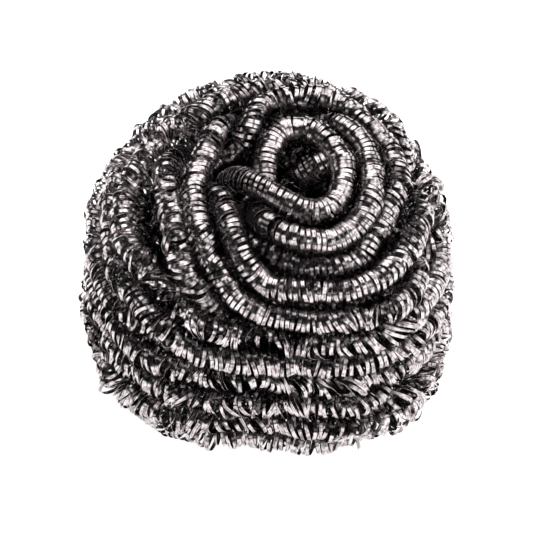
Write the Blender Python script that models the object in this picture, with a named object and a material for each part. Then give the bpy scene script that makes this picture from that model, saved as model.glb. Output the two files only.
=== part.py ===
"""Spiral scourer: one long close-wound coil of flat steel ribbon, itself wound up into a bun.

Metres, +Z up. The origin is on the surface the scourer stands on, under the middle of its
bounding box. The coil is drawn as a solid round strand along its whole course. The course is
laid layer by layer, as on a winding spindle: four inner layers, then the rose on top from its
eye outwards, then the side downwards, then the underside inwards. It is then settled: turns
that would lie in each other push apart, the strand keeps its length, and it all stays inside
the bun's outline.
"""

import math

import bmesh
import bpy
import numpy as np

# Driving dimensions, in metres
MM = 0.001
STRAND_DIAMETER = 5.6 * MM
STRAND_CLEARANCE = 0.45 * MM
BUN_RADIUS = 40.0 * MM
BUN_HEIGHT = 60.0 * MM
WIDEST_HEIGHT = 24.0 * MM
PRESSED_FLAT = 0.5 * MM
LAYER_SPACING = 8.6 * MM
INNER_PITCH = 9.2 * MM
ROSE_THICKNESS = 14.5 * MM
ROSE_DEPTH = 18.0 * MM
INNER_DISH = 12.0 * MM
EYE_OFFSET = 8.0 * MM
UNDERSIDE_HOLE = 3.6 * MM

# How far the bun reaches, every 45 degrees round from its right side, as shares of its radius
BUN_REACH = (0.995, 1.005, 1.06, 1.015, 0.995, 0.99, 0.87, 1.035)

# How the outline rounds off: 2 is an ellipse, more is squarer
UPPER_SQUARENESS = 2.9
LOWER_SQUARENESS = 9.0

# The side turns tip up towards the back left: by this much at the top, and less further down
LEAN_AZIMUTH = math.radians(130)
LEANS = (10.4 * MM, 9.5 * MM, 5.0 * MM, 2.0 * MM, 0.5 * MM, 0.0, 0.0, 0.0)

# The rose on top, from its eye outwards. Each passing place of the strand is drawn as it is seen
# from the front at 45 degrees: across and up, in fortieths of the bun's radius, then how many
# strands deep it lies. The middle of the bun's top is seen at an up of ROSE_LEVEL.
ROSE_UNITS = 40
ROSE_LEVEL = 42.4
ROSE = (
    ((2, 39, 3.3), (4.5, 36, 2.6), (8, 35.8, 1.8), (11.5, 37.4, 1.3), (15, 39.8, 1.2), (17.5, 43.5, 1.5)),
    ((14, 48.5, 2.0), (8, 50, 2.3), (1, 49, 2.1), (-5, 44.5, 1.6), (-8, 38, 1.2), (-6.4, 33.6, 0.7)),
    ((-1.4, 33, 0.35), (2.8, 32.2, 0.25), (6.2, 29.6, 0.2), (9.9, 28.4, 0.2), (13.6, 30.2, 0.2)),
    ((16.4, 33.3, 0.2), (18, 36.6, 0.2), (17.8, 39.8, 0.2), (15.2, 42.8, 0.2), (11.4, 45.4, 0.2)),
    ((7.6, 47.4, 0.2), (4.4, 45.8, 0.25), (1.6, 42.9, 0.3), (-1.2, 40.7, 0.5), (-3, 37.6, 0.7)),
    ((-4.4, 34.4, 1.0), (-5, 31, 1.3), (-3.8, 28.8, 1.1), (-1, 27.2, 0.6), (2.8, 25, 0.2), (6.7, 22.7, 0.2)),
    ((10.3, 21.8, 0.3), (13.9, 22.8, 0.4), (17.2, 26, 0.3), (20.3, 28.8, 0.2), (22.4, 32.2, 0.1)),
    ((23.4, 35.8, 0.1), (23.4, 39.4, 0.15), (21.6, 42.4, 0.2), (18.6, 45, 0.2), (15, 47.2, 0.3)),
    ((11, 48.4, 0.6), (6.8, 49.6, 1.2), (1.6, 49, 1.5), (-3.8, 45, 1.5), (-6.8, 39, 1.3), (-7.5, 33, 1.3)),
    ((-6.6, 25.6, 1.3), (-2, 20.2, 1.0), (4.5, 16.8, 0.7), (11, 17.4, 0.6), (17, 20, 0.4), (22.4, 23, 0.3)),
    ((26, 27.4, 0.2), (27.9, 32, 0.1), (27.9, 37, 0.1), (26.2, 41.8, 0.1), (23.2, 46.2, 0.1)),
    ((19.4, 49.6, 0.1), (15, 52.4, 0.1), (10, 55, 0.1), (5.8, 55.8, 0.05), (2.2, 54, 0.05)),
    ((-0.6, 50.2, 0.1), (-3.8, 46.4, 0.2), (-8.2, 44.2, 0.6), (-11.6, 41.4, 1.0), (-12, 38, 0.7)),
    ((-10, 34, 0.2), (-8, 29.8, 0), (-7.2, 25.4, 0), (-6.6, 21.6, 0), (-3.6, 17, 0), (1, 13, 0)),
    ((6, 10.8, 0), (11.4, 9.4, 0), (16.8, 10, 0), (21.6, 13, 0), (26, 17.4, 0), (29.4, 22.4, 0.1)),
    ((31.4, 27.2, 0.1), (32, 32.2, 0.1), (31.2, 37.4, 0.1), (28.9, 42.4, 0.1), (25.6, 46.8, 0.2)),
    ((21.4, 50.4, 0.4), (16.6, 53.8, 0.8), (11, 56, 1.0), (5.2, 57.4, 0.9), (0.4, 57, 0.5)),
    ((-3.8, 54.6, 0.1), (-7.6, 51.6, 0), (-10.4, 48, 0), (-12.6, 44, 0), (-14, 39.8, 0), (-14.8, 35.4, 0)),
    ((-14.6, 30.6, 0), (-13, 25.2, 0), (-10.4, 19.4, 0), (-7.4, 13.2, 0), (-3.4, 8.2, 0), (1, 5.6, 0)),
    ((5.6, 4.6, 0), (10.6, 4, 0), (15.8, 4.2, 0), (20.6, 6.2, 0), (25.4, 9.8, 0), (29.8, 14.4, 0)),
    ((33, 19.6, 0), (35, 25.4, 0), (36, 31.2, 0), (35.2, 37, 0), (32.8, 42, 0), (29.2, 46.6, 0)),
    ((24.9, 50.4, 0), (20, 53.4, 0), (14.6, 55.6, 0), (8, 57.6, 0), (1.6, 58.2, 0), (-5.8, 56.8, 0)),
    ((-12.6, 53.4, 0), (-17.6, 49.4, 0), (-20.4, 44, 0), (-21.6, 38, 0), (-21.6, 32, 0), (-20, 26, 0)),
    ((-17, 19.4, 0), (-13.2, 12, 0), (-8, 6, 0.3), (-1.6, 1.4, 0.5), (5, -0.8, 0.3), (13.4, -1, 0)),
    ((21, 1.4, 0), (27.4, 5.6, 0), (32.4, 11.4, 0), (35.6, 17.6, 0)),
)

# How the course is settled, and how finely the solid follows it
SETTLING_ROUNDS = 350
SETTLING_STEP = 0.45 * STRAND_DIAMETER
TIGHT_BEND_STEP = 0.5 * STRAND_DIAMETER
WIDE_BEND_STEP = 1.25 * STRAND_DIAMETER
OUTER_SAG = 0.1 * MM
INNER_SAG = 0.2 * MM
MOST_POINTS = 970
STRAND_SIDES_SETTING = 1

STEEL_COLOUR = (0.55, 0.54, 0.53, 1.0)
STEEL_ROUGHNESS = 0.25
STRAND_NAME = "coiled_ribbon_strand"


def clear_scene():
    """Leaves an empty scene."""
    for obj in list(bpy.data.objects):
        bpy.data.objects.remove(obj, do_unlink=True)


def reach_towards(azimuth):
    """How far the bun reaches in each direction, in metres."""
    reach = np.array(BUN_REACH) * BUN_RADIUS
    eighths = (azimuth / (math.pi / 4)) % 8
    before = np.floor(eighths).astype(int) % 8
    share = eighths - np.floor(eighths)
    share = share * share * (3 - 2 * share)
    return reach[before] * (1 - share) + reach[(before + 1) % 8] * share


def rise_and_squareness(height, sink):
    """How high a point is, as a share of the outline's half there, and how square that half is."""
    above = height >= WIDEST_HEIGHT
    headroom = BUN_HEIGHT - WIDEST_HEIGHT - sink
    legroom = WIDEST_HEIGHT + PRESSED_FLAT - sink
    rise = np.abs(height - WIDEST_HEIGHT) / np.where(above, headroom, legroom)
    return rise, np.where(above, UPPER_SQUARENESS, LOWER_SQUARENESS)


def fullness(points, sink):
    """1 on the bun's outline taken in by sink, less inside it and more outside it."""
    reach = reach_towards(np.arctan2(points[..., 1], points[..., 0])) - sink
    out = np.hypot(points[..., 0], points[..., 1]) / reach
    rise, squareness = rise_and_squareness(points[..., 2], sink)
    return (out**squareness + rise**squareness) ** (1 / squareness)


def pulled_in(points, sink):
    """Moves the points that have left the outline, taken in by sink, back onto it."""
    shrink = 1 / np.maximum(fullness(points, sink), 1.0)
    middle = np.array((0.0, 0.0, WIDEST_HEIGHT))
    return middle + (points - middle) * shrink[..., None]


def side_radius(azimuth, height, sink):
    """How far the outline, taken in by sink, is from the middle at a height."""
    rise, squareness = rise_and_squareness(height, sink)
    rise = np.minimum(rise, np.where(height >= WIDEST_HEIGHT, 0.94, 0.97))
    return (reach_towards(azimuth) - sink) * (1 - rise**squareness) ** (1 / squareness)


def laid_on_bun(across, up, deep):
    """The place on the bun that is seen at across and up, from the front at 45 degrees."""
    unit = BUN_RADIUS / ROSE_UNITS
    level = BUN_HEIGHT + (up - ROSE_LEVEL) * unit * math.sqrt(2)
    along = np.linspace(-1.6 * BUN_RADIUS, 1.6 * BUN_RADIUS, 521)
    sight = np.column_stack((np.full(len(along), across * unit), along, level - along))
    sink = STRAND_DIAMETER * (0.5 + deep)
    full = fullness(sight, sink)
    inside = np.nonzero(full <= 1)[0]
    nearest = inside[0] if len(inside) else int(np.argmin(full))
    return pulled_in(sight[nearest], sink)


def curved_through(passing, pieces):
    """A smooth course through the passing places, with so many pieces between two of them."""
    first = 2 * passing[0] - passing[1]
    last = 2 * passing[-1] - passing[-2]
    padded = np.concatenate(([first], passing, [last]))
    before, start, end, after = (padded[k : len(padded) - 3 + k] for k in range(4))
    points = []
    for share in np.arange(pieces) / pieces:
        turned = (end - before) * share + (2 * before - 5 * start + 4 * end - after) * share**2
        turned += (3 * start - 3 * end + after - before) * share**3
        points.append(start + turned / 2)
    return np.stack(points, axis=1).reshape(-1, 3)


def spiral(turns, start_turn, radii, heights, end_across=0.0):
    """Turns whose radius and height run between the pairs given, ending round end_across."""
    share = np.linspace(0, 1, max(int(turns * 40), 12))
    angle = 2 * math.pi * (start_turn + turns * share)
    radius = radii[0] + (radii[1] - radii[0]) * share
    height = heights[0] + (heights[1] - heights[0]) * share
    across = end_across * share + radius * np.cos(angle)
    return np.column_stack((across, radius * np.sin(angle), height))


def inner_layers():
    """The turns inside, from the core outwards, alternately down and up, and last under the rose."""
    pitch = INNER_PITCH
    low = 1.5 * STRAND_DIAMETER - PRESSED_FLAT + 2 * STRAND_CLEARANCE
    shoulder = BUN_HEIGHT - ROSE_THICKNESS - STRAND_DIAMETER / 2
    under = BUN_HEIGHT - ROSE_DEPTH
    radii = np.arange(BUN_RADIUS - STRAND_DIAMETER / 2 - LAYER_SPACING, 0, -LAYER_SPACING)[::-1]
    layers = []
    for count, radius in enumerate(radii):
        top = shoulder - INNER_DISH * (1 - radius / BUN_RADIUS)
        upward = (len(radii) - count) % 2 == 1
        run_on = (low - pitch / 2, top + pitch / 2)
        heights = run_on if upward else run_on[::-1]
        layer = spiral((top - low) / pitch + 1, 0.0, (radius, radius), heights)
        layer[:, 2] = np.clip(layer[:, 2], low, top)
        layers.append(layer)
    turns = (radii[-1] - 2 * STRAND_DIAMETER) / (STRAND_DIAMETER + 2 * STRAND_CLEARANCE)
    inward = (radii[-1] - STRAND_DIAMETER / 2, 2 * STRAND_DIAMETER)
    layers.append(spiral(turns, 0.0, inward, (under, under), EYE_OFFSET))
    return layers


def side_layer():
    """Turns round the bun's side, from under the rose down, and then in along the underside."""
    low = STRAND_DIAMETER / 2 - PRESSED_FLAT
    top = BUN_HEIGHT - ROSE_THICKNESS
    down = np.linspace(top, low, 200)
    out = side_radius(np.zeros(len(down)), down, STRAND_DIAMETER / 2)
    along = np.concatenate(([0.0], np.cumsum(np.hypot(np.diff(down), np.diff(out)))))
    turns = along[-1] / STRAND_DIAMETER
    share = np.linspace(0, 1, int(turns * 60))
    angle = 2 * math.pi * turns * share
    lean = np.interp(share, np.linspace(0, 1, len(LEANS)), LEANS)
    height = np.interp(share * along[-1], along, down) + lean * np.cos(angle - LEAN_AZIMUTH)
    height = np.maximum(height, low)
    radius = side_radius(angle, height, STRAND_DIAMETER / 2)
    side = np.column_stack((radius * np.cos(angle), radius * np.sin(angle), height))
    inward = (radius[-1] - UNDERSIDE_HOLE) / (STRAND_DIAMETER + STRAND_CLEARANCE)
    return side, spiral(inward, turns, (radius[-1], UNDERSIDE_HOLE), (low, low))


def length_of(points):
    """The length of a course."""
    return np.linalg.norm(np.diff(points, axis=0), axis=1).sum()


def laid_course():
    """The strand as laid, from its inner end, by the eye and the rose, to its lower end.

    Also gives the length of the part that lies inside.
    """
    *upright, under_rose = inner_layers()
    inner = np.concatenate(upright)
    rose = np.array([laid_on_bun(*place) for row in ROSE for place in row])
    course = np.concatenate((inner, under_rose, curved_through(rose, 8), *side_layer()))
    return course, length_of(inner)


def evenly_spaced(points, step):
    """The same course with its points a step apart along it."""
    lengths = np.linalg.norm(np.diff(points, axis=0), axis=1)
    along = np.concatenate(([0.0], np.cumsum(lengths)))
    stations = np.linspace(0, along[-1], int(round(along[-1] / step)) + 1)
    return np.column_stack([np.interp(stations, along, points[:, axis]) for axis in range(3)])


def near_pairs(points, reach, skip):
    """Pairs of points nearer than reach that aren't neighbours along the strand."""
    square = (points**2).sum(1)
    apart = square[:, None] + square[None, :] - 2 * points @ points.T
    return np.nonzero(np.triu(apart < reach**2, skip))


def pushed_apart(points, first, second, apart):
    """Moves both points of each pair that is too close away from each other."""
    between = points[second] - points[first]
    distance = np.maximum(np.linalg.norm(between, axis=1), 1e-6)
    moved = between * (0.4 * np.maximum(apart - distance, 0.0) / distance)[:, None]
    for axis in range(3):
        points[:, axis] += np.bincount(second, moved[:, axis], len(points))
        points[:, axis] -= np.bincount(first, moved[:, axis], len(points))


def settled(points, step):
    """Lets the laid turns push apart until none lies in another."""
    apart = STRAND_DIAMETER + STRAND_CLEARANCE
    skip = int(math.ceil(1.6 * apart / step))
    home = points.copy()
    for turn in range(SETTLING_ROUNDS):
        if turn % 8 == 0:
            first, second = near_pairs(points, apart * 1.5, skip)
        hold = max(0.0, 1 - 1.4 * turn / SETTLING_ROUNDS)
        points += 0.05 * hold * (home - points)
        points[1:-1] += (0.01 + 0.05 * hold) * (points[:-2] + points[2:] - 2 * points[1:-1])
        kink = points[:-4] + points[4:] - 4 * (points[1:-3] + points[3:-1]) + 6 * points[2:-2]
        points[2:-2] -= 0.06 * kink
        pushed_apart(points, first, second, apart)
        for _ in range(2):
            along = np.diff(points, axis=0)
            length = np.linalg.norm(along, axis=1)
            pull = along * (0.25 * (length - step) / length)[:, None]
            points[:-1] += pull
            points[1:] -= pull
        points[0] = 2 * points[1] - points[2]
        points[-1] = 2 * points[-2] - points[-3]
        points = pulled_in(points, STRAND_DIAMETER / 2)
    return points


def strand_course():
    """The settled centreline, centred over the origin and standing on its flattened turns.

    Also gives how many of its points lie inside.
    """
    laid, inner_length = laid_course()
    points = evenly_spaced(laid, SETTLING_STEP)
    points = settled(pulled_in(points, STRAND_DIAMETER / 2), SETTLING_STEP)
    low = points.min(axis=0)
    high = points.max(axis=0)
    points[:, :2] -= (low[:2] + high[:2]) / 2
    points[:, 2] += STRAND_DIAMETER / 2 - PRESSED_FLAT - low[2]
    return points, int(inner_length / SETTLING_STEP)


def solid_stations(points, inner_count):
    """Fewer points along the course: close together in its tight bends, wider apart elsewhere."""
    along = np.diff(points, axis=0)
    length = np.linalg.norm(along, axis=1)
    heading = along / length[:, None]
    bend = np.arccos(np.clip((heading[1:] * heading[:-1]).sum(1), -1, 1)) / length[1:]
    bend = np.convolve(np.concatenate(([bend[0]], bend)), np.ones(5) / 5, "same")
    sag = np.where(np.arange(len(bend)) < inner_count, INNER_SAG, OUTER_SAG)
    step = np.sqrt(8 * sag / np.maximum(bend, 1.0))
    step = np.clip(step, TIGHT_BEND_STEP, WIDE_BEND_STEP)
    counted = np.concatenate(([0.0], np.cumsum(length / step)))
    count = min(int(round(counted[-1])) + 1, MOST_POINTS)
    stations = np.linspace(0, counted[-1], count)
    return np.column_stack([np.interp(stations, counted, points[:, axis]) for axis in range(3)])


def steel_material():
    """Bright stainless ribbon, seen as one grey metal."""
    material = bpy.data.materials.new("stainless_ribbon")
    material.use_nodes = True
    shader = material.node_tree.nodes["Principled BSDF"]
    shader.inputs["Base Color"].default_value = STEEL_COLOUR
    shader.inputs["Metallic"].default_value = 1.0
    shader.inputs["Roughness"].default_value = STEEL_ROUGHNESS
    return material


def floor_cutter(collection):
    """A slab under the floor, which cuts the lowest turns flat."""
    bpy.ops.mesh.primitive_cube_add(size=1.0)
    slab = bpy.context.object
    slab.name = "floor_cutter"
    slab.scale = (3 * BUN_RADIUS, 3 * BUN_RADIUS, BUN_RADIUS)
    slab.location = (0.0, 0.0, -BUN_RADIUS / 2)
    slab.hide_render = True
    slab.display_type = "WIRE"
    for holder in list(slab.users_collection):
        holder.objects.unlink(slab)
    collection.objects.link(slab)
    return slab


def tube_mesh(points):
    """The mesh of a closed round tube through the points."""
    curve = bpy.data.curves.new("strand_guide", "CURVE")
    curve.dimensions = "3D"
    curve.bevel_depth = STRAND_DIAMETER / 2
    curve.bevel_resolution = STRAND_SIDES_SETTING
    curve.use_fill_caps = True
    spline = curve.splines.new("POLY")
    spline.points.add(len(points) - 1)
    for target, (x, y, z) in zip(spline.points, points):
        target.co = (x, y, z, 1.0)
    guide = bpy.data.objects.new("strand_guide", curve)
    bpy.context.scene.collection.objects.link(guide)
    bpy.context.view_layer.update()
    evaluated = guide.evaluated_get(bpy.context.evaluated_depsgraph_get())
    mesh = bpy.data.meshes.new_from_object(evaluated)
    bpy.data.objects.remove(guide, do_unlink=True)
    welded = bmesh.new()
    welded.from_mesh(mesh)
    bmesh.ops.remove_doubles(welded, verts=welded.verts, dist=0.001 * MM)
    welded.to_mesh(mesh)
    welded.free()
    return mesh


def strand_object(course, collection, cutter):
    """The strand as one closed solid, with its lowest turns cut flat by the floor."""
    mesh = tube_mesh(solid_stations(*course))
    mesh.name = STRAND_NAME
    mesh.materials.clear()
    mesh.materials.append(steel_material())
    mesh.shade_smooth()
    mesh.set_sharp_from_angle(angle=math.radians(62))
    strand = bpy.data.objects.new(STRAND_NAME, mesh)
    collection.objects.link(strand)
    pressed = strand.modifiers.new("pressed_flat", "BOOLEAN")
    pressed.operation = "DIFFERENCE"
    pressed.object = cutter
    return strand


def main():
    clear_scene()
    collection = bpy.data.collections.new("spiral_scourer")
    cutters = bpy.data.collections.new("spiral_scourer_cutters")
    bpy.context.scene.collection.children.link(collection)
    bpy.context.scene.collection.children.link(cutters)
    strand_object(strand_course(), collection, floor_cutter(cutters))


main()
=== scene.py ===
# %% [markdown]
# # A spiral scourer, turn by turn
#
# The real pad is one flat stainless ribbon, a little under a millimetre wide, wound into a close
# coil that is 5.6 mm thick and more than five metres long. That coil, the strand, is wound up in
# its turn into a bun, with a rose of small turns round an eye on top.
#
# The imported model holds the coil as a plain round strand. Here the strand is replaced by the
# ribbon itself, laid along the same course, and then the pad is lit and photographed.

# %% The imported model
import math

import bmesh
import bpy
import numpy as np
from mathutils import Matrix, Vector


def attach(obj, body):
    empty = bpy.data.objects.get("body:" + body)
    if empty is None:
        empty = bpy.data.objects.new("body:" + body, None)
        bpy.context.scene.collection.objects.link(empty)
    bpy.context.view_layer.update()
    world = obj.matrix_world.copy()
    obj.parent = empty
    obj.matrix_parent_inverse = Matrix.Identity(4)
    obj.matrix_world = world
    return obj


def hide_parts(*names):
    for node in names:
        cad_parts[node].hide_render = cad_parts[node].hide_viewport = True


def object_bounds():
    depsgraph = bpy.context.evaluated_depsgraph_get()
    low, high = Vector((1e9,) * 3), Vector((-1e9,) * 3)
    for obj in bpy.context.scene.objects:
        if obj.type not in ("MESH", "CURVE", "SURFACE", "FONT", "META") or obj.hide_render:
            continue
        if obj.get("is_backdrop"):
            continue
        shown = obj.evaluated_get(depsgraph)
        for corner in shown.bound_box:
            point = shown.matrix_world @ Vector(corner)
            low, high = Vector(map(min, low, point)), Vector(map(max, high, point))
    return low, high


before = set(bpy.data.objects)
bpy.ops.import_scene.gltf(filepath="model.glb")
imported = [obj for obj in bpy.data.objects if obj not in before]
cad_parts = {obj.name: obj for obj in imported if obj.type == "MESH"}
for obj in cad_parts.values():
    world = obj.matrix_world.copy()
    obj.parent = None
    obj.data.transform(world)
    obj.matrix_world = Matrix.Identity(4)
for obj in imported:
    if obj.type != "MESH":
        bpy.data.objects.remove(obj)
cad_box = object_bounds()
STRAND = "coiled_ribbon_strand"
print("nodes:", sorted(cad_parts))

# %% [markdown]
# ## The course of the strand
#
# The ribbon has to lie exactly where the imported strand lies, so the strand's centreline is worked
# out again here in the way its own source does it: layers as on a winding spindle, then the rose
# from its eye outwards, then the side downwards and the underside inwards. Reading the line back
# from the strand's triangles would be the other way, but a triangle mesh has lost the smooth
# curve that it was made from.

# %% Driving dimensions, in metres
MM = 0.001
STRAND_DIAMETER = 5.6 * MM
STRAND_CLEARANCE = 0.45 * MM
BUN_RADIUS = 40.0 * MM
BUN_HEIGHT = 60.0 * MM
WIDEST_HEIGHT = 24.0 * MM
PRESSED_FLAT = 0.5 * MM
LAYER_SPACING = 8.6 * MM
INNER_PITCH = 9.2 * MM
ROSE_THICKNESS = 14.5 * MM
ROSE_DEPTH = 18.0 * MM
INNER_DISH = 12.0 * MM
EYE_OFFSET = 8.0 * MM
UNDERSIDE_HOLE = 3.6 * MM
BUN_REACH = (0.995, 1.005, 1.06, 1.015, 0.995, 0.99, 0.87, 1.035)  # every 45 degrees, in radii
UPPER_SQUARENESS = 2.9
LOWER_SQUARENESS = 9.0
LEAN_AZIMUTH = math.radians(130)
LEANS = (10.4 * MM, 9.5 * MM, 5.0 * MM, 2.0 * MM, 0.5 * MM, 0.0, 0.0, 0.0)  # down the side
print("strand", STRAND_DIAMETER / MM, "mm thick, bun", 2 * BUN_RADIUS / MM, "mm wide")

# %% [markdown]
# The rose was drawn over the photograph. Each place is how far across and how far up it
# is seen, in fortieths of the bun's radius, and how many strands deep it lies.

# %% The rose's passing places
ROSE_UNITS = 40
ROSE_LEVEL = 42.4
ROSE = (
    ((2, 39, 3.3), (4.5, 36, 2.6), (8, 35.8, 1.8), (11.5, 37.4, 1.3), (15, 39.8, 1.2), (17.5, 43.5, 1.5)),
    ((14, 48.5, 2.0), (8, 50, 2.3), (1, 49, 2.1), (-5, 44.5, 1.6), (-8, 38, 1.2), (-6.4, 33.6, 0.7)),
    ((-1.4, 33, 0.35), (2.8, 32.2, 0.25), (6.2, 29.6, 0.2), (9.9, 28.4, 0.2), (13.6, 30.2, 0.2)),
    ((16.4, 33.3, 0.2), (18, 36.6, 0.2), (17.8, 39.8, 0.2), (15.2, 42.8, 0.2), (11.4, 45.4, 0.2)),
    ((7.6, 47.4, 0.2), (4.4, 45.8, 0.25), (1.6, 42.9, 0.3), (-1.2, 40.7, 0.5), (-3, 37.6, 0.7)),
    ((-4.4, 34.4, 1.0), (-5, 31, 1.3), (-3.8, 28.8, 1.1), (-1, 27.2, 0.6), (2.8, 25, 0.2), (6.7, 22.7, 0.2)),
    ((10.3, 21.8, 0.3), (13.9, 22.8, 0.4), (17.2, 26, 0.3), (20.3, 28.8, 0.2), (22.4, 32.2, 0.1)),
    ((23.4, 35.8, 0.1), (23.4, 39.4, 0.15), (21.6, 42.4, 0.2), (18.6, 45, 0.2), (15, 47.2, 0.3)),
    ((11, 48.4, 0.6), (6.8, 49.6, 1.2), (1.6, 49, 1.5), (-3.8, 45, 1.5), (-6.8, 39, 1.3), (-7.5, 33, 1.3)),
    ((-6.6, 25.6, 1.3), (-2, 20.2, 1.0), (4.5, 16.8, 0.7), (11, 17.4, 0.6), (17, 20, 0.4), (22.4, 23, 0.3)),
    ((26, 27.4, 0.2), (27.9, 32, 0.1), (27.9, 37, 0.1), (26.2, 41.8, 0.1), (23.2, 46.2, 0.1)),
    ((19.4, 49.6, 0.1), (15, 52.4, 0.1), (10, 55, 0.1), (5.8, 55.8, 0.05), (2.2, 54, 0.05)),
    ((-0.6, 50.2, 0.1), (-3.8, 46.4, 0.2), (-8.2, 44.2, 0.6), (-11.6, 41.4, 1.0), (-12, 38, 0.7)),
    ((-10, 34, 0.2), (-8, 29.8, 0), (-7.2, 25.4, 0), (-6.6, 21.6, 0), (-3.6, 17, 0), (1, 13, 0)),
    ((6, 10.8, 0), (11.4, 9.4, 0), (16.8, 10, 0), (21.6, 13, 0), (26, 17.4, 0), (29.4, 22.4, 0.1)),
    ((31.4, 27.2, 0.1), (32, 32.2, 0.1), (31.2, 37.4, 0.1), (28.9, 42.4, 0.1), (25.6, 46.8, 0.2)),
    ((21.4, 50.4, 0.4), (16.6, 53.8, 0.8), (11, 56, 1.0), (5.2, 57.4, 0.9), (0.4, 57, 0.5)),
    ((-3.8, 54.6, 0.1), (-7.6, 51.6, 0), (-10.4, 48, 0), (-12.6, 44, 0), (-14, 39.8, 0), (-14.8, 35.4, 0)),
    ((-14.6, 30.6, 0), (-13, 25.2, 0), (-10.4, 19.4, 0), (-7.4, 13.2, 0), (-3.4, 8.2, 0), (1, 5.6, 0)),
    ((5.6, 4.6, 0), (10.6, 4, 0), (15.8, 4.2, 0), (20.6, 6.2, 0), (25.4, 9.8, 0), (29.8, 14.4, 0)),
    ((33, 19.6, 0), (35, 25.4, 0), (36, 31.2, 0), (35.2, 37, 0), (32.8, 42, 0), (29.2, 46.6, 0)),
    ((24.9, 50.4, 0), (20, 53.4, 0), (14.6, 55.6, 0), (8, 57.6, 0), (1.6, 58.2, 0), (-5.8, 56.8, 0)),
    ((-12.6, 53.4, 0), (-17.6, 49.4, 0), (-20.4, 44, 0), (-21.6, 38, 0), (-21.6, 32, 0), (-20, 26, 0)),
    ((-17, 19.4, 0), (-13.2, 12, 0), (-8, 6, 0.3), (-1.6, 1.4, 0.5), (5, -0.8, 0.3), (13.4, -1, 0)),
    ((21, 1.4, 0), (27.4, 5.6, 0), (32.4, 11.4, 0), (35.6, 17.6, 0)),
)

print("rose:", sum(len(row) for row in ROSE), "passing places")

# %% [markdown]
# The bun's outline is a formula: a circle with a reach of its own in each eighth, rounded off
# above and below like a squared-off ellipse. Places inside give less than 1 and places outside
# more, so one function both tests a place and brings it back onto the outline.

# %% The bun's outline
NARROWS_UNTIL = (0.97, 0.94)  # how far down and up its side narrows, as a share of each half
SIGHT_REACH = 1.6 * BUN_RADIUS
SIGHT_STEPS = 521


def reach_towards(azimuth):
    """How far the bun reaches in each direction, in metres."""
    reach = np.array(BUN_REACH) * BUN_RADIUS
    eighths = (azimuth / (math.pi / 4)) % 8
    before = np.floor(eighths).astype(int) % 8
    share = eighths - np.floor(eighths)
    share = share * share * (3 - 2 * share)
    return reach[before] * (1 - share) + reach[(before + 1) % 8] * share


def rise_and_squareness(height, sink):
    """How high a point is, as a share of the outline's half there, and how square that half is."""
    above = height >= WIDEST_HEIGHT
    headroom = BUN_HEIGHT - WIDEST_HEIGHT - sink
    legroom = WIDEST_HEIGHT + PRESSED_FLAT - sink
    rise = np.abs(height - WIDEST_HEIGHT) / np.where(above, headroom, legroom)
    return rise, np.where(above, UPPER_SQUARENESS, LOWER_SQUARENESS)


def fullness(points, sink):
    """1 on the bun's outline taken in by sink, less inside it and more outside it."""
    reach = reach_towards(np.arctan2(points[..., 1], points[..., 0])) - sink
    out = np.hypot(points[..., 0], points[..., 1]) / reach
    rise, squareness = rise_and_squareness(points[..., 2], sink)
    return (out**squareness + rise**squareness) ** (1 / squareness)


def pulled_in(points, sink):
    """Moves the points that have left the outline, taken in by sink, back onto it."""
    shrink = 1 / np.maximum(fullness(points, sink), 1.0)
    middle = np.array((0.0, 0.0, WIDEST_HEIGHT))
    return middle + (points - middle) * shrink[..., None]


def side_radius(azimuth, height, sink):
    """How far the outline, taken in by sink, is from the middle at a height."""
    rise, squareness = rise_and_squareness(height, sink)
    below, above = NARROWS_UNTIL
    rise = np.minimum(rise, np.where(height >= WIDEST_HEIGHT, above, below))
    return (reach_towards(azimuth) - sink) * (1 - rise**squareness) ** (1 / squareness)


def laid_on_bun(across, up, deep):
    """The place on the bun that is seen at across and up, from the front at 45 degrees."""
    unit = BUN_RADIUS / ROSE_UNITS
    level = BUN_HEIGHT + (up - ROSE_LEVEL) * unit * math.sqrt(2)
    along = np.linspace(-SIGHT_REACH, SIGHT_REACH, SIGHT_STEPS)
    sight = np.column_stack((np.full(len(along), across * unit), along, level - along))
    sink = STRAND_DIAMETER * (0.5 + deep)
    full = fullness(sight, sink)
    inside = np.nonzero(full <= 1)[0]
    nearest = inside[0] if len(inside) else int(np.argmin(full))
    return pulled_in(sight[nearest], sink)


print("reach:", (reach_towards(np.arange(8) * math.pi / 4) / MM).round(1), "mm")

# %% [markdown]
# The turns are laid first without looking whether they touch. Inside they are simple spirals, and
# the rose is a smooth line through its passing places. A curve object could carry that line, but
# the settling that follows works on plain points.

# %% The turns as they are laid
POINTS_A_TURN = 40
SIDE_POINTS_A_TURN = 60
SIDE_STEPS = 200
ROSE_PIECES = 8  # how many pieces the line has between two passing places


def curved_through(passing, pieces):
    """A smooth course through the passing places, with so many pieces between two of them."""
    first = 2 * passing[0] - passing[1]
    last = 2 * passing[-1] - passing[-2]
    padded = np.concatenate(([first], passing, [last]))
    before, start, end, after = (padded[k : len(padded) - 3 + k] for k in range(4))
    points = []
    for share in np.arange(pieces) / pieces:
        turned = (end - before) * share + (2 * before - 5 * start + 4 * end - after) * share**2
        turned += (3 * start - 3 * end + after - before) * share**3
        points.append(start + turned / 2)
    return np.stack(points, axis=1).reshape(-1, 3)


def spiral(turns, start_turn, radii, heights, end_across=0.0):
    """Turns whose radius and height run between the pairs given, ending round end_across."""
    share = np.linspace(0, 1, max(int(turns * POINTS_A_TURN), 12))
    angle = 2 * math.pi * (start_turn + turns * share)
    radius = radii[0] + (radii[1] - radii[0]) * share
    height = heights[0] + (heights[1] - heights[0]) * share
    across = end_across * share + radius * np.cos(angle)
    return np.column_stack((across, radius * np.sin(angle), height))


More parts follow.
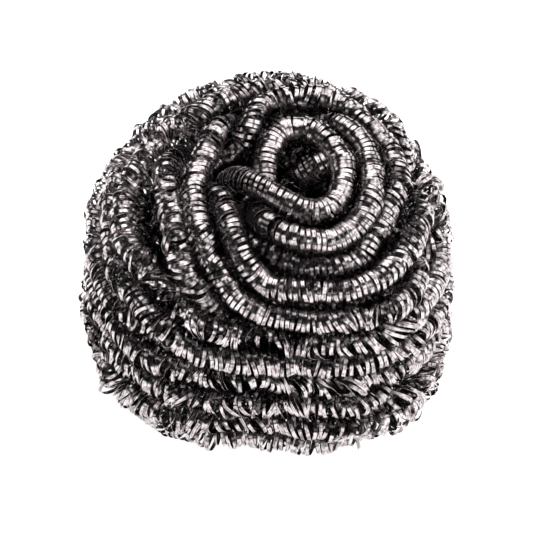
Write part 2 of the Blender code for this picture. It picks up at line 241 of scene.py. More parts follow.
def inner_layers():
    """The turns inside, from the core outwards, alternately down and up, and last under the rose."""
    pitch = INNER_PITCH
    low = 1.5 * STRAND_DIAMETER - PRESSED_FLAT + 2 * STRAND_CLEARANCE
    shoulder = BUN_HEIGHT - ROSE_THICKNESS - STRAND_DIAMETER / 2
    under = BUN_HEIGHT - ROSE_DEPTH
    radii = np.arange(BUN_RADIUS - STRAND_DIAMETER / 2 - LAYER_SPACING, 0, -LAYER_SPACING)[::-1]
    layers = []
    for count, radius in enumerate(radii):
        top = shoulder - INNER_DISH * (1 - radius / BUN_RADIUS)
        upward = (len(radii) - count) % 2 == 1
        run_on = (low - pitch / 2, top + pitch / 2)
        heights = run_on if upward else run_on[::-1]
        layer = spiral((top - low) / pitch + 1, 0.0, (radius, radius), heights)
        layer[:, 2] = np.clip(layer[:, 2], low, top)
        layers.append(layer)
    turns = (radii[-1] - 2 * STRAND_DIAMETER) / (STRAND_DIAMETER + 2 * STRAND_CLEARANCE)
    inward = (radii[-1] - STRAND_DIAMETER / 2, 2 * STRAND_DIAMETER)
    layers.append(spiral(turns, 0.0, inward, (under, under), EYE_OFFSET))
    return layers


def side_layer():
    """Turns round the bun's side, from under the rose down, and then in along the underside."""
    low = STRAND_DIAMETER / 2 - PRESSED_FLAT
    top = BUN_HEIGHT - ROSE_THICKNESS
    down = np.linspace(top, low, SIDE_STEPS)
    out = side_radius(np.zeros(len(down)), down, STRAND_DIAMETER / 2)
    along = np.concatenate(([0.0], np.cumsum(np.hypot(np.diff(down), np.diff(out)))))
    turns = along[-1] / STRAND_DIAMETER
    share = np.linspace(0, 1, int(turns * SIDE_POINTS_A_TURN))
    angle = 2 * math.pi * turns * share
    lean = np.interp(share, np.linspace(0, 1, len(LEANS)), LEANS)
    height = np.interp(share * along[-1], along, down) + lean * np.cos(angle - LEAN_AZIMUTH)
    height = np.maximum(height, low)
    radius = side_radius(angle, height, STRAND_DIAMETER / 2)
    side = np.column_stack((radius * np.cos(angle), radius * np.sin(angle), height))
    inward = (radius[-1] - UNDERSIDE_HOLE) / (STRAND_DIAMETER + STRAND_CLEARANCE)
    return side, spiral(inward, turns, (radius[-1], UNDERSIDE_HOLE), (low, low))


def length_of(points):
    """The length of a course."""
    return np.linalg.norm(np.diff(points, axis=0), axis=1).sum()


print("laid inside:", len(inner_layers()), "layers")

# %% [markdown]
# Then the turns settle, as they do when the pad is wound. In each round, points of two turns that
# are too close move apart, the strand is smoothed a little and kept at its length, and nothing
# leaves the outline. A soft body simulation could do this too, but it is slower, and its result
# is harder to repeat exactly.

# %% The turns settle until none lies in another
SETTLING_ROUNDS = 350
SETTLING_STEP = 0.45 * STRAND_DIAMETER
SEARCH_EVERY = 8  # rounds between two searches for close pairs
SEARCH_REACH = 1.5  # how far the search looks, in times the distance that turns keep
NEIGHBOURS = 1.6  # how near along the strand two points are neighbours, in the same measure
HOLD_FADES = 1.4  # how fast the hold on the laid place fades; at 1 it would last to the end
HOLD = 0.05  # share of the way back to the laid place, at first
SMOOTHING = 0.01  # share of the way to the middle between a point's neighbours
FIRST_SMOOTHING = 0.05  # how much more of it at first
STIFFNESS = 0.06  # share of a kink that is taken out
PUSH = 0.4  # share of what two turns lack in distance that each moves away
PULL = 0.25  # share of a stretch's wrong length that each end takes up
PULLS_A_ROUND = 2


def evenly_spaced(points, step):
    """The same course with its points a step apart along it."""
    lengths = np.linalg.norm(np.diff(points, axis=0), axis=1)
    along = np.concatenate(([0.0], np.cumsum(lengths)))
    stations = np.linspace(0, along[-1], int(round(along[-1] / step)) + 1)
    return np.column_stack([np.interp(stations, along, points[:, axis]) for axis in range(3)])


def near_pairs(points, reach, skip):
    """Pairs of points nearer than reach that aren't neighbours along the strand."""
    square = (points**2).sum(1)
    apart = square[:, None] + square[None, :] - 2 * points @ points.T
    return np.nonzero(np.triu(apart < reach**2, skip))


def pushed_apart(points, first, second, apart):
    """Moves both points of each pair that is too close away from each other."""
    between = points[second] - points[first]
    distance = np.maximum(np.linalg.norm(between, axis=1), 1e-6)
    moved = between * (PUSH * np.maximum(apart - distance, 0.0) / distance)[:, None]
    for axis in range(3):
        points[:, axis] += np.bincount(second, moved[:, axis], len(points))
        points[:, axis] -= np.bincount(first, moved[:, axis], len(points))


def settled(points, step):
    """Lets the laid turns push apart until none lies in another."""
    apart = STRAND_DIAMETER + STRAND_CLEARANCE
    skip = int(math.ceil(NEIGHBOURS * apart / step))
    home = points.copy()
    for turn in range(SETTLING_ROUNDS):
        if turn % SEARCH_EVERY == 0:
            first, second = near_pairs(points, apart * SEARCH_REACH, skip)
        hold = max(0.0, 1 - HOLD_FADES * turn / SETTLING_ROUNDS)
        points += HOLD * hold * (home - points)
        smoothing = SMOOTHING + FIRST_SMOOTHING * hold
        points[1:-1] += smoothing * (points[:-2] + points[2:] - 2 * points[1:-1])
        kink = points[:-4] + points[4:] - 4 * (points[1:-3] + points[3:-1]) + 6 * points[2:-2]
        points[2:-2] -= STIFFNESS * kink
        pushed_apart(points, first, second, apart)
        for _ in range(PULLS_A_ROUND):
            along = np.diff(points, axis=0)
            length = np.linalg.norm(along, axis=1)
            pull = along * (PULL * (length - step) / length)[:, None]
            points[:-1] += pull
            points[1:] -= pull
        points[0] = 2 * points[1] - points[2]
        points[-1] = 2 * points[-2] - points[-3]
        points = pulled_in(points, STRAND_DIAMETER / 2)
    return points


def strand_course():
    """The settled centreline, and how much of its length lies inside, in the rose and on the side."""
    inner = np.concatenate(inner_layers())
    passing = np.array([laid_on_bun(*place) for row in ROSE for place in row])
    rose = curved_through(passing, ROSE_PIECES)
    side, underside = side_layer()
    laid = evenly_spaced(np.concatenate((inner, rose, side, underside)), SETTLING_STEP)
    points = settled(pulled_in(laid, STRAND_DIAMETER / 2), SETTLING_STEP)
    low = points.min(axis=0)
    high = points.max(axis=0)
    moved = -(low + high) / 2
    moved[2] = STRAND_DIAMETER / 2 - PRESSED_FLAT - low[2]
    return points + moved, moved, np.cumsum([length_of(part) for part in (inner, rose, side, underside)])


course, moved_by, part_ends = strand_course()
print("strand:", round(length_of(course), 3), "m, parts end at", part_ends.round(3))

# %% [markdown]
# ## The ribbon
#
# The ribbon is flattened wire: a strip 0.78 mm wide with a turn every 1.02 mm, so dark slits show
# between the turns. Its thickness can't be seen in the photograph, and 0.04 mm is a usual one for
# such ribbon. A screw modifier or a curve with a bevel could make such a coil, but neither can
# follow a bent course and keep its turns loose. So a straight coil is spun with bmesh, and then
# each of its cross-sections is moved to its place round the strand's course.
#
# Five turns are spun as one block, and the block is repeated, because that is quicker than
# spinning thousands of turns one after another.

# %% Ribbon sizes
STRAND_RADIUS = STRAND_DIAMETER / 2
RIBBON_WIDTH = 0.78 * MM
RIBBON_THICKNESS = 0.04 * MM
RIBBON_PITCH = 1.02 * MM
BLOCK_TURNS = 5
BLOCK_STEPS = 100
STEPS_A_TURN = BLOCK_STEPS / BLOCK_TURNS
CORNERS = ((-0.5, -0.5), (0.5, -0.5), (0.5, 0.5), (-0.5, 0.5))  # across and through the ribbon
print("ribbon:", RIBBON_WIDTH / MM, "mm wide, a turn every", RIBBON_PITCH / MM, "mm")


def straight_coil(blocks):
    """A straight coil of flat ribbon along X, as a bmesh, with five turns to a block."""
    coil = bmesh.new()
    corners = [
        coil.verts.new((wide * RIBBON_WIDTH, 0, STRAND_RADIUS + thick * RIBBON_THICKNESS))
        for wide, thick in CORNERS
    ]
    loop = [coil.edges.new((corners[k - 1], corners[k])) for k in range(4)]
    advance = (BLOCK_TURNS * RIBBON_PITCH, 0, 0)
    step = Vector(advance) / BLOCK_STEPS
    turned = 2 * math.pi * BLOCK_TURNS
    bmesh.ops.spin(
        coil, geom=[*corners, *loop], axis=(1, 0, 0), dvec=step, angle=turned, steps=BLOCK_STEPS
    )
    block = [*coil.verts, *coil.edges, *coil.faces]
    bmesh.ops.spin(
        coil, geom=block, axis=(1, 0, 0), dvec=advance, steps=blocks - 1, use_duplicate=True
    )
    bmesh.ops.remove_doubles(coil, verts=coil.verts, dist=RIBBON_THICKNESS / 10)
    ends = [edge for edge in coil.edges if edge.is_boundary]
    bmesh.ops.holes_fill(coil, edges=ends, sides=4)
    bmesh.ops.recalc_face_normals(coil, faces=coil.faces)
    return coil


# %% [markdown]
# ### Where each turn goes
#
# A coil that is bent needs a frame that runs along its course without twisting. It is carried
# from point to point: each new frame is the last one, turned by the smallest turn that follows
# the bend. A frame taken from the curve's own bending would flip wherever the course straightens.

# %% The guide along the course
def carried_frames(points):
    """Two directions across the course at each point, which never twist round it."""
    along = np.gradient(points, axis=0)
    along /= np.linalg.norm(along, axis=1)[:, None]
    across = np.empty_like(points)
    across[0] = Vector(along[0]).orthogonal().normalized()
    for k in range(1, len(points)):
        carried = across[k - 1] - along[k] * (across[k - 1] @ along[k])
        across[k] = carried / math.sqrt(carried @ carried)
    return along, across, np.cross(along, across)


GUIDE_PIECES = 8
guide = curved_through(course, GUIDE_PIECES)
guide_along, guide_across, guide_up = carried_frames(guide)
guide_length = np.concatenate(([0.0], np.cumsum(np.linalg.norm(np.diff(guide, axis=0), axis=1))))
print("guide:", len(guide), "points")


def on_guide(values, lengths):
    """The guide's values at these lengths along it."""
    return np.column_stack([np.interp(lengths, guide_length, values[:, axis]) for axis in range(3)])


def wandering(turns, every, seed):
    """A value between -1 and 1 that wanders smoothly, with a new aim every so many turns."""
    aims = np.random.default_rng(seed).uniform(-1, 1, int(turns[-1] / every) + 3)
    place = turns / every
    before = np.floor(place).astype(int)
    share = place - before
    share = share * share * (3 - 2 * share)
    return aims[before] * (1 - share) + aims[before + 1] * share


# %% [markdown]
# Where turns lie against each other the steel's colour is darkened as painted shade, and what stands
# out keeps its full colour. So for each place along the strand, and each side of it, the script finds
# how close the nearest other turn is on that side. The steel's shader reads that as an attribute later.

# %% How crowded each side of the strand is
CROWD_REACH = 9.5 * MM
CROWD_SIDES = 24
CROWDED_FACING = (0.5, 0.9)


def crowding():
    """How close other turns are, from 0 to 1, at each point of the course and on each side of it."""
    apart = STRAND_DIAMETER + STRAND_CLEARANCE
    skip = int(math.ceil(2 * apart / SETTLING_STEP))
    first, second = near_pairs(course, CROWD_REACH, skip)
    here = np.concatenate((first, second))
    there = np.concatenate((second, first))
    between = course[there] - course[here]
    distance = np.linalg.norm(between, axis=1)
    near = np.clip((CROWD_REACH - distance) / (CROWD_REACH - apart), 0, 1)
    crowded = np.zeros((len(course), CROWD_SIDES))
    on_course = np.minimum(here * GUIDE_PIECES, len(guide) - 1)
    for side in range(CROWD_SIDES):
        turned = 2 * math.pi * side / CROWD_SIDES
        outward = guide_across[on_course] * math.cos(turned) + guide_up[on_course] * math.sin(turned)
        facing = (outward * between).sum(1) / distance
        np.maximum.at(crowded[:, side], here, near * np.interp(facing, CROWDED_FACING, (0, 1)))
    return crowded


crowded = crowding()
print("crowded sides:", round(float((crowded > 0.5).mean()), 3))

# %% [markdown]
# ### How loose each turn is
#
# On the real pad no two turns lie alike. Some lean, some are a little wide, some are twisted, and
# where the pad was pressed they slide over each other or spring out. One value says how loose the
# ribbon is at each place: little in the middle of the rose, which is still as it was wound, and a
# lot at the bun's left and right and down its side. Shaping the turns by hand would be the other
# way, but there are five thousand of them.

# %% How loose the ribbon is along its length
ROSE_SHARES = (-0.05, 0.0, 0.3, 0.6, 1.0, 1.3)
LOOSENESS = (0.8, 0.25, 0.35, 0.6, 0.9, 1.1)
SIDES_FROM = 0.45 * BUN_RADIUS
SIDES_BY = 0.8 * BUN_RADIUS
SIDES_LOOSER = 0.35
LOOSENESS_VARIES = 0.5

blocks_in_all = int(guide_length[-1] / RIBBON_PITCH / BLOCK_TURNS)
turns = np.arange(blocks_in_all * BLOCK_STEPS + 1) / STEPS_A_TURN
lengths = turns / turns[-1] * (guide_length[-1] - 2 * RIBBON_PITCH) + RIBBON_PITCH
rose_share = (lengths - part_ends[0]) / (part_ends[1] - part_ends[0])
loose = np.interp(rose_share, ROSE_SHARES, LOOSENESS)
from_middle = np.abs(np.interp(lengths, guide_length, guide[:, 0] - moved_by[0]))
at_sides = np.interp(from_middle, (SIDES_FROM, SIDES_BY), (0.0, SIDES_LOOSER))
loose = loose + at_sides * (loose < 1)
loose = loose * (1 + LOOSENESS_VARIES * wandering(turns, every=14, seed=1))
print("looseness from", round(float(loose.min()), 2), "to", round(float(loose.max()), 2))

# %% [markdown]
# Everything else that differs from turn to turn wanders along the ribbon, each with a seed of its
# own. What wanders slowly is shared by neighbours, so that whole groups lean together, and what
# wanders within a turn or two is that turn's own.

# %% How each turn leans, slides and is bent
TURN_SIZE = 0.97
TIP = math.radians(6)
TIP_VARIES = math.radians(14)
TWIST = math.radians(52)


def varied(every, seed, tight=0.0, looser=0.0):
    """A value that wanders by tight, and by looser more for each unit of looseness."""
    return (tight + looser * loose) * wandering(turns, every, seed)


def leaning(shared_seed, own_seed):
    """How far the turns lean, as the slope of each turn against the strand."""
    return varied(6, shared_seed, looser=0.65) + varied(1.1, own_seed, looser=0.35)


def shifting(own_seed, shared_seed):
    """How far the turns are off the strand's middle, in metres."""
    own = varied(1.6, own_seed, tight=0.08 * MM, looser=0.45 * MM)
    return own + varied(13, shared_seed, tight=0.1 * MM, looser=0.9 * MM)


lengths = lengths + varied(11, 16, tight=0.3 * RIBBON_PITCH, looser=1.8 * RIBBON_PITCH)
slide = varied(1.5, 6, looser=0.3 * RIBBON_PITCH)
angle = 2 * math.pi * turns
lean_a = leaning(shared_seed=2, own_seed=3)
lean_b = leaning(shared_seed=4, own_seed=5)
shift_a = shifting(own_seed=11, shared_seed=17)
shift_b = shifting(own_seed=12, shared_seed=18)
most_lean = float(np.abs(lean_a).max())
most_shift = float(np.abs(shift_a).max()) / MM
print("a slope of", round(most_lean, 2), "and", round(most_shift, 2), "mm off at the most")

# %% [markdown]
# A loose turn is also larger or smaller than its neighbours, oval, bumpy, and kinked where it was
# pressed. The kinks are only hundredths of a millimetre deep, but they break its glint into
# flecks. Then the flat ribbon is tipped, so that one of its edges stands up. A bump texture could
# give the flecks too, but not the uneven edges.

# %% How wide and how round each turn is
squash = varied(4, 7, tight=0.02, looser=0.12)
squash_angle = math.pi * wandering(turns, every=25, seed=8)
swell = varied(17, 9, tight=0.03, looser=0.05)
bumps = varied(1.1, 10, tight=0.01, looser=0.05) + varied(0.3, 19, looser=0.045)
kinks = varied(0.13, 20, tight=0.004, looser=0.022)
radius = STRAND_RADIUS * (TURN_SIZE + swell + squash * np.cos(2 * angle - squash_angle))
radius = radius * (1 + bumps) * (1 + kinks)
tip = TIP + varied(0.8, 13, tight=TIP_VARIES) + varied(0.27, 14, looser=TWIST)
print("turns from", round(2 * radius.min() / MM, 2), "to", round(2 * radius.max() / MM, 2), "mm across")

# %% [markdown]
# ### Where the turns come to lie
#
# With all that settled, each cross-section of the ribbon gets its middle, the direction it runs in
# and the direction of its width. Two places are helped. The hairpin turn down in the eye
# is lifted, so that it shows as it does on the real pad, and the foot is tucked in at the front
# left, where the real pad is pressed. Here and there a turn has sprung out of the strand.

# %% The middle of each cross-section
HAIRPIN_LIFT = (0.8 * MM, 0.2 * MM, 2.4 * MM)
HAIRPIN_AFTER = 1.5 * MM
HAIRPIN_REACH = 9 * MM
FOOT_TUCK = 1.9 * MM
FOOT_TUCK_AZIMUTH = math.radians(-122)
FOOT_TUCK_HEIGHT = 14 * MM
FOOT_TUCK_SHARPNESS = 8
SPRUNG_ABOVE = (0.76, 0.96)
SPRUNG_INSIDE = 0.3
SPRUNG_SIZE = 0.45

places = lengths + slide + radius * (lean_a * np.cos(angle) + lean_b * np.sin(angle))
across = on_guide(guide_across, places)
up = on_guide(guide_up, places)
outward = across * np.cos(angle)[:, None] + up * np.sin(angle)[:, None]
centre = on_guide(guide, places) + across * shift_a[:, None] + up * shift_b[:, None]

lift = np.exp(-(((lengths - part_ends[0] - HAIRPIN_AFTER) / HAIRPIN_REACH) ** 2))
centre += lift[:, None] * np.array(HAIRPIN_LIFT)
off_azimuth = np.arctan2(centre[:, 1], centre[:, 0]) - FOOT_TUCK_AZIMUTH
towards_tuck = np.clip(np.cos(off_azimuth), 0, 1) ** FOOT_TUCK_SHARPNESS
tucked = FOOT_TUCK * towards_tuck * np.clip(1 - centre[:, 2] / FOOT_TUCK_HEIGHT, 0, 1)
centre[:, :2] *= (1 - tucked / BUN_RADIUS)[:, None]

from_core = centre - moved_by - np.array((0.0, 0.0, WIDEST_HEIGHT))
from_core /= np.linalg.norm(from_core, axis=1)[:, None]
outside = np.clip((outward * from_core).sum(1), 0, 1)
sprung = np.interp(wandering(turns, every=1.6, seed=15), SPRUNG_ABOVE, (0, 1))
sprung = sprung * (SPRUNG_INSIDE + (1 - SPRUNG_INSIDE) * outside) * loose
middle = centre + outward * (radius * (1 + SPRUNG_SIZE * sprung))[:, None]
print("sprung turns:", round(float((sprung > 0.2).mean()), 3), "of the ribbon")

# %% [markdown]
# A cross-section is four corners round its middle. The ones that stand out of the bun's outline by
# more than a millimetre are brought back, and none goes below the surface that the pad stands on.

# %% The four corners of each cross-section
SPRING_REACH = 1.0 * MM

running = np.gradient(middle, axis=0)
running /= np.linalg.norm(running, axis=1)[:, None]
wide = np.cross(outward, running)
wide /= np.linalg.norm(wide, axis=1)[:, None]
wide = wide * np.cos(tip)[:, None] + np.cross(running, wide) * np.sin(tip)[:, None]
thick = np.cross(running, wide)
sections = [
    middle + wide * (along * RIBBON_WIDTH) + thick * (through * RIBBON_THICKNESS)
    for along, through in CORNERS
]
sections = pulled_in(np.stack(sections, axis=1) - moved_by, -SPRING_REACH) + moved_by
sections[:, :, 2] = np.maximum(sections[:, :, 2], 0)
print("ribbon:", int(turns[-1]), "turns,", len(sections), "cross-sections")

# %% [markdown]
# How much painted shade darkens the steel at a cross-section is read from the crowding of the strand
# there, between the nearest places and sides, and it also grows with how deep in the pad the ribbon
# lies. The lifted hairpin is left with little or none of that painted shade.

# %% How much painted shade each cross-section gets
# Painted shade fades in from this depth inside the outline and is full at the next
PAINTED_SHADE_FROM = 5.5 * MM
PAINTED_SHADE_BY = 10.5 * MM
HAIRPIN_BRIGHTER = 2


def crowded_at(places, angles):
    """How crowded the strand is at these lengths and on these sides, from 0 to 1."""
    knot = np.interp(places, guide_length, np.arange(len(guide)) / GUIDE_PIECES)
    knot_before = np.floor(knot).astype(int)
    side = (angles % 1) * CROWD_SIDES
    side_before = np.floor(side).astype(int)
    total = np.zeros(len(places))
    for next_knot in (0, 1):
        rows = np.minimum(knot_before + next_knot, len(course) - 1)
        knot_share = np.abs(1 - next_knot - (knot - knot_before))
        for next_side in (0, 1):
            side_share = np.abs(1 - next_side - (side - side_before))
            total += knot_share * side_share * crowded[rows, (side_before + next_side) % CROWD_SIDES]
    return total


inside = (1 - fullness(middle - moved_by, 0.0)) * BUN_RADIUS
# Painted shade: darker steel where other turns crowd close and deep inside the pad, little at the lifted
# hairpin
painted_shade = np.maximum(crowded_at(places, turns), np.interp(inside, (PAINTED_SHADE_FROM, PAINTED_SHADE_BY), (0, 1)))
painted_shade *= 1 - np.minimum(HAIRPIN_BRIGHTER * lift, 1)
print("share of the ribbon under painted shade:", round(float((painted_shade > 0.5).mean()), 3))

# %% [markdown]
# Two helpers come first, for all the materials and the light. Colours are picked from the
# photograph as hex codes, which shaders can't use as they are. And a node is added in one line, with
# its settings and what is plugged into it, which is easier to read than a line for each link.

# %% Colours and nodes
def colour(code):
    """A hex colour as the screen shows it, turned to the linear values that shaders use."""
    parts = [int(code[k : k + 2], 16) / 255 for k in (1, 3, 5)]
    linear = [c / 12.92 if c <= 0.04045 else ((c + 0.055) / 1.055) ** 2.4 for c in parts]
    return (*linear, 1.0)


def node(tree, kind, inputs=None, **settings):
    """Adds a node with its settings. Each input is a plain value, or another node's output."""
    added = tree.nodes.new(kind)
    for name, value in settings.items():
        setattr(added, name, value)
    for name, value in (inputs or {}).items():
        if isinstance(value, bpy.types.NodeSocket):
            tree.links.new(value, added.inputs[name])
        else:
            added.inputs[name].default_value = value
    return added


print("mid grey is", round(colour("#808080")[0], 3), "in linear light")

# %% [markdown]
# ## The steel
#
# The ribbon is round stainless wire that was rolled flat and never polished: bright, a little warm,
# and streaked. A plain metallic colour would make each turn one flat mirror. Three things keep
# it from that: patches of tone about a millimetre wide, fine lines drawn along the ribbon by the
# rollers, and painted shade, a darker colour where turns lie against each other or deep in the pad.
# Real drawn lines are too fine to show at the photograph's size, so they are drawn coarser here.

# %% The drawn stainless ribbon
STREAK = "#736768"
BRIGHT = "#D8D0D1"
TONE_PLACES = (0.4, 0.55)
# Painted shade: the share of its colour that the steel keeps where it is darkest
PAINTED_SHADE_TONE = 0.24
PATCHES = 950.0
PATCH_RANGE = (0.3, 0.7)
ROUGHNESS = (0.26, 0.14)
LINES_ACROSS = 7 / MM
LINES_ALONG = 0.35 / MM
LINE_STRENGTH = 0.5
LINE_DEPTH = 0.01 * MM


def noise(tree, place, scale, detail):
    """A soft random pattern, from 0 to 1, with so many features a unit of place."""
    inputs = {"Vector": place, "Scale": scale, "Detail": detail}
    return node(tree, "ShaderNodeTexNoise", inputs).outputs["Fac"]


def streaked_tone(tree, patches, lines):
    """The ribbon's own colour: patches and drawn lines mixed half and half between two greys."""
    both = node(tree, "ShaderNodeMix", {0: 0.5, 2: patches, 3: lines})
    tint = node(tree, "ShaderNodeValToRGB", {"Fac": both.outputs[0]})
    for element, place, code in zip(tint.color_ramp.elements, TONE_PLACES, (STREAK, BRIGHT)):
        element.position = place
        element.color = colour(code)
    return tint.outputs["Color"]


def with_painted_shade(tree, tone):
    """The same colour, darkened as painted shade where the ribbon's attribute says that turns lie close."""
    # Painted shade, read from the attribute and multiplied into the colour
    deep = node(tree, "ShaderNodeAttribute", attribute_name="painted_shade").outputs["Fac"]
    share = node(tree, "ShaderNodeMapRange", {"Value": deep, "To Min": 1.0, "To Max": PAINTED_SHADE_TONE})
    inputs = {0: 1.0, 6: tone, 7: share.outputs[0]}
    return node(tree, "ShaderNodeMix", inputs, data_type="RGBA", blend_type="MULTIPLY").outputs[2]


def drawn_stainless():
    """Rolled stainless wire: small sharp glints with streaks in them, black between the turns, and painted
    shade.
    """
    material = bpy.data.materials.new("drawn_stainless_ribbon")
    material.use_nodes = True
    tree = material.node_tree
    shader = tree.nodes["Principled BSDF"]
    shader.inputs["Metallic"].default_value = 1.0
    place = node(tree, "ShaderNodeTexCoord").outputs["Object"]
    patches = noise(tree, place, PATCHES, 2.0)
    drawn = node(tree, "ShaderNodeAttribute", attribute_name="drawn").outputs["Vector"]
    lines = noise(tree, drawn, 1.0, 1.0)
    tree.links.new(with_painted_shade(tree, streaked_tone(tree, patches, lines)), shader.inputs["Base Color"])
    low, high = PATCH_RANGE
    rough, smooth = ROUGHNESS
    ranges = {"Value": patches, "From Min": low, "From Max": high, "To Min": rough, "To Max": smooth}
    gloss = node(tree, "ShaderNodeMapRange", ranges)
    tree.links.new(gloss.outputs["Result"], shader.inputs["Roughness"])
    scoring = {"Height": lines, "Strength": LINE_STRENGTH, "Distance": LINE_DEPTH}
    tree.links.new(node(tree, "ShaderNodeBump", scoring).outputs["Normal"], shader.inputs["Normal"])
    return material


steel = drawn_stainless()
print(steel.name, "has", len(steel.node_tree.nodes), "nodes")

# %% [markdown]
# ## The ribbon, piece by piece
#
# One mesh of the whole ribbon would be heavy to handle, so it is made in six stretches that follow
# each other. Each stretch starts as the straight coil. From where a vertex lies in that coil the
# script works out which cross-section and which corner it is, and moves it to that corner's place.

# %% Six stretches of ribbon
SHARP_EDGE = math.radians(50)


def place_in_coil(mesh, first_block):
    """For each vertex of a straight coil: its cross-section, and whether it is right and outer."""
    straight = np.empty(len(mesh.vertices) * 3)
    mesh.vertices.foreach_get("co", straight)
    straight = straight.reshape(-1, 3)
    part_turn = np.arctan2(-straight[:, 1], straight[:, 2]) / (2 * math.pi) % 1
    whole_turns = np.round(straight[:, 0] / RIBBON_PITCH - part_turn)
    exact = (whole_turns + part_turn) * STEPS_A_TURN
    section = np.round(exact).astype(int) + first_block * BLOCK_STEPS
    right = straight[:, 0] > exact / STEPS_A_TURN * RIBBON_PITCH
    outer = np.hypot(straight[:, 1], straight[:, 2]) > STRAND_RADIUS
    return np.clip(section, 0, len(sections) - 1), right, outer


def mark_for_steel(mesh, section, right):
    """Gives the mesh what the steel's shader reads: how much painted shade darkens it, and its place along
    the ribbon.
    """
    # Painted shade, stored on each vertex for the steel's shader
    deep = mesh.attributes.new("painted_shade", "FLOAT", "POINT")
    deep.data.foreach_set("value", painted_shade[section].astype(np.float32))
    drawn = mesh.attributes.new("drawn", "FLOAT_VECTOR", "POINT")
    along = section / STEPS_A_TURN * 2 * math.pi * STRAND_RADIUS * LINES_ALONG
    wide = np.where(right, 0.5, -0.5) * RIBBON_WIDTH * LINES_ACROSS
    values = np.column_stack((along, wide, np.zeros(len(wide))))
    drawn.data.foreach_set("vector", values.astype(np.float32).ravel())


def ribbon_piece(name, first_block, last_block):
    """A stretch of the ribbon: a straight coil whose cross-sections are moved to their places."""
    coil = straight_coil(last_block - first_block)
    mesh = bpy.data.meshes.new(name)
    coil.to_mesh(mesh)
    coil.free()
    section, right, outer = place_in_coil(mesh, first_block)
    corner = np.where(outer, np.where(right, 2, 3), np.where(right, 1, 0))
    mesh.vertices.foreach_set("co", sections[section, corner].ravel())
    mark_for_steel(mesh, section, right)
    mesh.materials.append(steel)
    mesh.shade_smooth()
    mesh.set_sharp_from_angle(angle=SHARP_EDGE)
    piece = bpy.data.objects.new(name, mesh)
    bpy.context.scene.collection.objects.link(piece)
    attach(piece, "root")
    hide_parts(STRAND)
    print(name, len(mesh.vertices), "vertices")
    return piece


inner_end, rose_end, side_end, _ = part_ends
piece_ends = (0, inner_end / 2, inner_end, rose_end, (rose_end + side_end) / 2, side_end, guide_length[-1])
piece_ends = [int(end / guide_length[-1] * blocks_in_all) for end in piece_ends]
PIECES = ("core_coil", "inner_coil", "rose_coil", "upper_side_coil", "lower_side_coil", "underside_coil")
for name, first, last in zip(PIECES, piece_ends[:-1], piece_ends[1:]):
    ribbon_piece(name, first, last)

# %% [markdown]
# ## The floor
#
# The photograph was cut out to plain white, so the pad stands on a white sheet. The sheet takes
# the pad's shadow. Its own glow is seen only by the camera and in the steel's reflections, because
# more light on everything would bleach the steel before the paper were white.

# %% A sheet of white paper
FLOOR_SIZE = 3.0
PAPER = "#F4F4F4"
PAPER_GLOW = 0.88

floor_mesh = bpy.data.meshes.new("floor")
floor_shape = bmesh.new()
bmesh.ops.create_grid(floor_shape, x_segments=1, y_segments=1, size=FLOOR_SIZE)
floor_shape.to_mesh(floor_mesh)
floor_shape.free()
floor = bpy.data.objects.new("floor", floor_mesh)
bpy.context.scene.collection.objects.link(floor)
floor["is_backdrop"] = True


def larger(tree, first, second):
    """The larger of two values."""
    return node(tree, "ShaderNodeMath", {0: first, 1: second}, operation="MAXIMUM").outputs[0]


def white_paper():
    """Matt white paper, which looks evenly white to the camera and in the steel."""
    paper = bpy.data.materials.new("white_paper")
    paper.use_nodes = True
    tree = paper.node_tree
    tree.nodes.clear()
    rays = node(tree, "ShaderNodeLightPath").outputs
    seen = larger(tree, rays["Is Camera Ray"], rays["Is Glossy Ray"])
    seen = larger(tree, seen, rays["Is Transmission Ray"])
    matt = node(tree, "ShaderNodeBsdfDiffuse", {"Color": colour(PAPER)}).outputs[0]
    glow = node(tree, "ShaderNodeEmission", {"Color": (1, 1, 1, 1), "Strength": PAPER_GLOW}).outputs[0]
    both = node(tree, "ShaderNodeAddShader", {0: matt, 1: glow}).outputs[0]
    mixed = node(tree, "ShaderNodeMixShader", {0: seen, 1: matt, 2: both}).outputs[0]
    node(tree, "ShaderNodeOutputMaterial", {"Surface": mixed})
    return paper


floor_mesh.materials.append(white_paper())
print("floor:", 2 * FLOOR_SIZE, "m square")

# %% [markdown]
# ## The light
#
# Bright steel shows what is round it, so the light is drawn into the world itself: white below the
# horizon, nearly black above, and round soft lamps in the black. Area lamps would do as well, but
# lamps in the world are equally far from each turn of ribbon, and so give the small, even glints
# of a studio photograph.

# %% The sky, with seven lamps in it
SKY = ((0.0, 1.0), (0.05, 1.0), (0.07, 0.006), (1.0, 0.006))
LAMP_SOFTNESS = 4
# Each lamp: what it is, azimuth, elevation and half its width in degrees, and its strength
LAMPS = (
    ("overhead", 70, 74, 27, 1.9),
    ("back", 100, 42, 21, 1.65),
    ("right", -15, 28, 24, 2.1),
    ("back_right", 35, 36, 19, 1.7),
    ("left", 178, 33, 11, 1.35),
    ("front_left", -125, 18, 11, 1.5),
    ("front_right", -62, 24, 15, 1.65),
)


def sky_tone(tree, height):
    """White under the horizon and nearly black above it."""
    sky = node(tree, "ShaderNodeValToRGB", {"Fac": height})
    ramp = sky.color_ramp
    for place, value in SKY[1:-1]:
        ramp.elements.new(place)
    for element, (place, value) in zip(ramp.elements, SKY):
        element.position = place
        element.color = (value, value, value, 1)
    return sky.outputs["Color"]


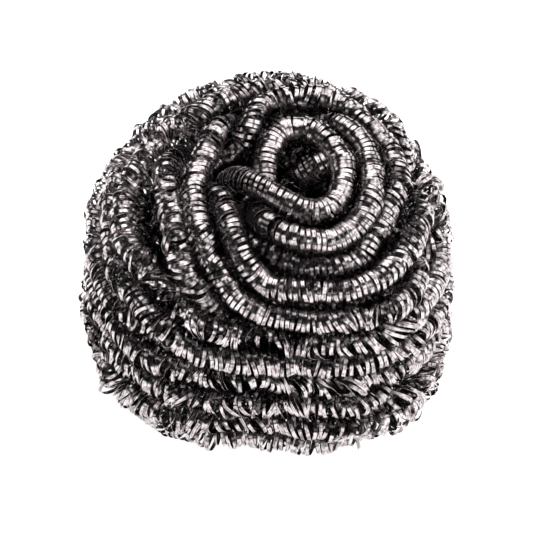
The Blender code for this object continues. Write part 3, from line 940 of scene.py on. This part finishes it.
def with_lamp(tree, light, direction, azimuth, elevation, half_width, strength):
    """The same light with a round, soft-edged lamp added in one direction."""
    flat = math.cos(math.radians(elevation))
    towards = (
        flat * math.cos(math.radians(azimuth)),
        flat * math.sin(math.radians(azimuth)),
        math.sin(math.radians(elevation)),
    )
    facing = node(tree, "ShaderNodeVectorMath", {0: direction, 1: towards}, operation="DOT_PRODUCT")
    edge = math.cos(math.radians(half_width + LAMP_SOFTNESS))
    full = math.cos(math.radians(half_width - LAMP_SOFTNESS))
    ranges = {"Value": facing.outputs["Value"], "From Min": edge, "From Max": full, "To Max": strength}
    disc = node(tree, "ShaderNodeMapRange", ranges).outputs["Result"]
    inputs = {0: 1.0, 6: light, 7: disc}
    return node(tree, "ShaderNodeMix", inputs, data_type="RGBA", blend_type="ADD").outputs[2]


world = bpy.data.worlds.new("studio")
bpy.context.scene.world = world
world.use_nodes = True
tree = world.node_tree
tree.nodes.clear()
direction = node(tree, "ShaderNodeTexCoord").outputs["Generated"]
light = sky_tone(tree, node(tree, "ShaderNodeSeparateXYZ", {0: direction}).outputs["Z"])
for name, azimuth, elevation, half_width, strength in LAMPS:
    light = with_lamp(tree, light, direction, azimuth, elevation, half_width, strength)
background = node(tree, "ShaderNodeBackground", {"Color": light, "Strength": 1.0})
node(tree, "ShaderNodeOutputWorld", {"Surface": background.outputs[0]})
print("lamps:", ", ".join(name for name, *_ in LAMPS))

# %% [markdown]
# ## The camera
#
# The photograph looks down at the pad at about 45 degrees, from far enough that the turns at the
# back look as thick as those in front. The camera's distance and lens are chosen so that a metre at
# the pad covers the same number of pixels as in the photograph.

# %% The camera, where the photograph was taken from
PHOTO_PIXELS = 540
PIXELS_A_METRE = 4660
FILM_WIDTH = 36.0
CAMERA_DISTANCE = 1.5
CAMERA_SEES = 20.0
ELEVATION = math.radians(45)
FOOT_IN_PHOTO = (268, 340)

foot_across = (PHOTO_PIXELS / 2 - FOOT_IN_PHOTO[0]) / PIXELS_A_METRE
foot_up = (FOOT_IN_PHOTO[1] - PHOTO_PIXELS / 2) / PIXELS_A_METRE
aim = Vector((foot_across, 0.0, foot_up / math.sin(ELEVATION)))
back = Vector((0.0, -math.cos(ELEVATION), math.sin(ELEVATION)))
camera = bpy.data.objects.new("camera", bpy.data.cameras.new("camera"))
camera.data.sensor_width = FILM_WIDTH
camera.data.lens = FILM_WIDTH * CAMERA_DISTANCE / (PHOTO_PIXELS / PIXELS_A_METRE)
camera.data.clip_end = CAMERA_SEES
camera.location = aim + back * CAMERA_DISTANCE
camera.rotation_mode = "QUATERNION"
camera.rotation_quaternion = back.to_track_quat("Z", "Y")
bpy.context.scene.collection.objects.link(camera)
bpy.context.scene.camera = camera
bpy.context.scene.view_settings.view_transform = "Standard"
print("lens:", round(camera.data.lens), "mm")

# %% Sizes and finish
sizes = {"cad_box": cad_box, "visual_box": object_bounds()}
sizes = {name: [[float(x) for x in corner] for corner in box] for name, box in sizes.items()}
print(sizes)
